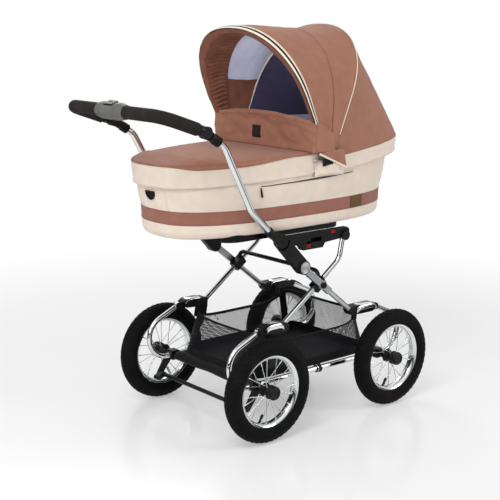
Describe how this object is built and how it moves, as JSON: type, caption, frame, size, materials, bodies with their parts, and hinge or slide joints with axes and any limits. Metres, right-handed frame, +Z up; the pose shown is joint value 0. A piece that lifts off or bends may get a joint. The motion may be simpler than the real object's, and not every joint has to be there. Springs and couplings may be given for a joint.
{
  "type": "bassinet pram",
  "caption": "Bassinet pram with a padded fabric body, folding hood and apron, on an X-frame chassis with C-spring runners, wire wheels, a net basket and a tilting foam grip",
  "frame": {"origin": "on the ground under the middle of the wheelbase, in the plane of symmetry", "axes": "+X to the hood end, -X to the handle, +Y to the pusher's left, +Z up"},
  "size_m": [1.0697, 0.581, 1.192],
  "materials": {
    "tyre": "matte moulded tread",
    "chrome": "polished chrome plate",
    "black_plastic": "fine satin grain",
    "black_metal": "black powder coat",
    "red_plastic": "smooth moulded",
    "light_metal": "satin",
    "foam": "matte closed-cell foam",
    "grey_plastic": "satin",
    "cream_fabric": "plain woven cloth, padded",
    "brown_fabric": "plain woven cloth",
    "hoop_steel": "drawn wire",
    "mattress_fabric": "soft cotton",
    "basket_fabric": "coarse nylon cloth and net"
  },
  "bodies": {
    "frame_a": {"leg_a_l": "chrome", "leg_a_r": "chrome", "rear_unit_l": "black_plastic", "rear_unit_r": "black_plastic", "lock_bar": "black_metal", "rail_l": "black_plastic", "rail_r": "black_plastic"},
    "frame_b": {"leg_b_l": "light_metal", "leg_b_r": "light_metal", "front_unit_l": "black_plastic", "front_unit_r": "black_plastic", "hinge_lower_l": "black_plastic", "hinge_lower_r": "black_plastic"},
    "rear_runner": {"rear_runner_l": "chrome", "rear_runner_r": "chrome", "rear_axle": "black_metal", "basket_tray": "basket_fabric", "basket_net": "basket_fabric"},
    "front_runner": {"front_runner_l": "chrome", "front_runner_r": "chrome", "front_axle": "black_metal"},
    "brake": {"brake_bar": "black_metal"},
    "handle": {"hinge_upper_l": "black_plastic", "hinge_upper_r": "black_plastic", "handle_tube_l": "chrome", "handle_tube_r": "chrome", "knuckle_l": "black_plastic", "knuckle_r": "black_plastic"},
    "grip": {"grip_frame": "black_metal", "grip_foam": "foam", "grip_unit": "grey_plastic"},
    "grip_button": {"grip_button": "grey_plastic"},
    "hinge_button_l": {"hinge_button_l": "light_metal"},
    "hinge_button_r": {"hinge_button_r": "light_metal"},
    "release_levers": {"release_levers": "red_plastic"},
    "bassinet": {"base_pan": "black_plastic", "body_shell": "cream_fabric", "stripe_band": "brown_fabric", "apron": "brown_fabric", "apron_skirt": "cream_fabric", "hood_skirt": "cream_fabric", "hood_rear_hoop": "hoop_steel", "hood_rear_canopy": "brown_fabric", "mattress": "mattress_fabric", "foot_grip": "black_plastic"},
    "hood_front": {"hood_front_hoop": "hoop_steel", "hood_front_canopy": "brown_fabric"},
    "wind_flap": {"wind_flap": "brown_fabric"},
    "wheel_rl": {"wheel_rl_tyre": "tyre", "wheel_rl_rim": "chrome", "wheel_rl_hub": "black_plastic"},
    "wheel_rr": {"wheel_rr_tyre": "tyre", "wheel_rr_rim": "chrome", "wheel_rr_hub": "black_plastic"},
    "wheel_fl": {"wheel_fl_tyre": "tyre", "wheel_fl_rim": "chrome", "wheel_fl_hub": "black_plastic"},
    "wheel_fr": {"wheel_fr_tyre": "tyre", "wheel_fr_rim": "chrome", "wheel_fr_hub": "black_plastic"}
  },
  "joints": [
    {"name": "fold", "type": "hinge", "parent": "frame_a", "child": "frame_b", "pos_m": [0, 0, 0.419], "axis": [0, -1, 0], "range_deg": [0, 46]},
    {"name": "rear_runner_swing", "type": "hinge", "parent": "frame_a", "child": "rear_runner", "pos_m": [-0.24159, 0, 0.31302], "axis": [0, -1, 0], "range_deg": [0, 23]},
    {"name": "front_runner_swing", "type": "hinge", "parent": "frame_b", "child": "front_runner", "pos_m": [0.24159, 0, 0.31302], "axis": [0, -1, 0], "range_deg": [-23, 0]},
    {"name": "brake_swing", "type": "hinge", "parent": "rear_runner", "child": "brake", "pos_m": [-0.259, 0, 0.155], "axis": [0, -1, 0], "range_deg": [0, 15]},
    {"name": "handle_fold", "type": "hinge", "parent": "frame_b", "child": "handle", "pos_m": [-0.17, 0, 0.576], "axis": [0, 1, 0], "range_deg": [0, 8]},
    {"name": "grip_tilt", "type": "hinge", "parent": "handle", "child": "grip", "pos_m": [-0.456, 0, 0.908], "axis": [0, 1, 0], "range_deg": [-35, 35]},
    {"name": "grip_button_press", "type": "slide", "parent": "grip", "child": "grip_button", "axis": [0.3256, 0, -0.9455], "range_m": [0, 0.0025], "stiffness_N_per_m": 900, "springref_m": -0.002},
    {"name": "hinge_button_l_press", "type": "slide", "parent": "frame_b", "child": "hinge_button_l", "axis": [0, -1, 0], "range_m": [0, 0.004], "stiffness_N_per_m": 900, "springref_m": -0.002},
    {"name": "hinge_button_r_press", "type": "slide", "parent": "frame_b", "child": "hinge_button_r", "axis": [0, 1, 0], "range_m": [0, 0.004], "stiffness_N_per_m": 900, "springref_m": -0.002},
    {"name": "release_lever_lift", "type": "slide", "parent": "frame_a", "child": "release_levers", "axis": [0, 0, 1], "range_m": [0, 0.008], "stiffness_N_per_m": 600, "springref_m": -0.003},
    {"name": "bassinet_lift", "type": "slide", "parent": "frame_a", "child": "bassinet", "axis": [0, 0, 1], "range_m": [0, 0.12]},
    {"name": "hood_fold", "type": "hinge", "parent": "bassinet", "child": "hood_front", "pos_m": [0.004, 0, 0.775], "axis": [0, 1, 0], "range_deg": [0, 38], "deforming": ["hood_front_canopy"]},
    {"name": "wind_flap_fold", "type": "hinge", "parent": "bassinet", "child": "wind_flap", "pos_m": [-0.0685, 0, 0.82544], "axis": [0, -1, 0], "range_deg": [0, 75]},
    {"name": "wheel_rl_spin", "type": "hinge", "parent": "rear_runner", "child": "wheel_rl", "pos_m": [-0.259, 0.2585, 0.155], "axis": [0, 1, 0], "continuous": true},
    {"name": "wheel_rr_spin", "type": "hinge", "parent": "rear_runner", "child": "wheel_rr", "pos_m": [-0.259, -0.2585, 0.155], "axis": [0, 1, 0], "continuous": true},
    {"name": "wheel_fl_spin", "type": "hinge", "parent": "front_runner", "child": "wheel_fl", "pos_m": [0.259, 0.2585, 0.155], "axis": [0, 1, 0], "continuous": true},
    {"name": "wheel_fr_spin", "type": "hinge", "parent": "front_runner", "child": "wheel_fr", "pos_m": [0.259, -0.2585, 0.155], "axis": [0, 1, 0], "continuous": true}
  ],
  "couplings": [
    {"joint": "rear_runner_swing", "follows": "fold", "ratio": 0.5},
    {"joint": "front_runner_swing", "follows": "fold", "ratio": -0.5}
  ]
}
